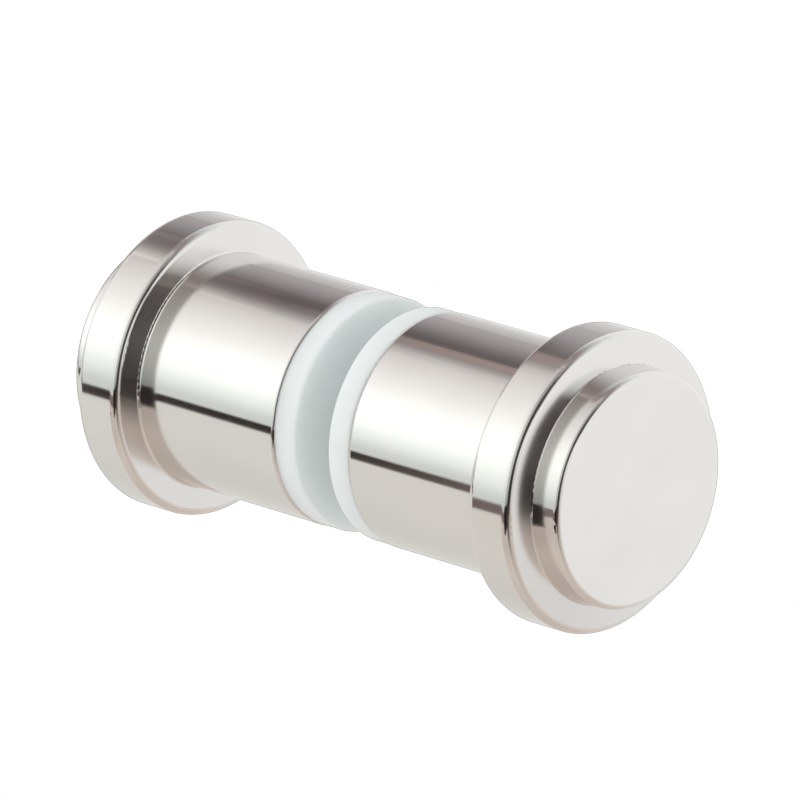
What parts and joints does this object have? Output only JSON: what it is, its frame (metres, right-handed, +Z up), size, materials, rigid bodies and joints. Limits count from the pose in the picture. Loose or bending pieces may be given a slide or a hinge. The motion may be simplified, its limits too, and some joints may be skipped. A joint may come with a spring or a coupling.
{
  "type": "shower door handle",
  "caption": "Back-to-back turned metal knobs with wide collars, clamped through a glass door by a stud with frosted washers.",
  "frame": {"origin": "centre of the hole in the glass, on the middle plane of the glass, which is the centre of the part's box", "axes": "+X along the knobs' common axis, out of the shower, and +Z up, so the glass lies in the YZ plane"},
  "size_m": [0.0872, 0.0404, 0.0404],
  "materials": {
    "knob_metal": "fine satin, turned round the axis",
    "frosted_plastic": "frosted, milky, slightly translucent",
    "bush_plastic": "moulded, milky white",
    "stud_steel": "plain rolled thread"
  },
  "bodies": {
    "root": {"outer_knob": "knob_metal", "inner_knob": "knob_metal", "outer_washer": "frosted_plastic", "inner_washer": "frosted_plastic", "glass_bush": "bush_plastic", "threaded_stud": "stud_steel"}
  },
  "joints": []
}
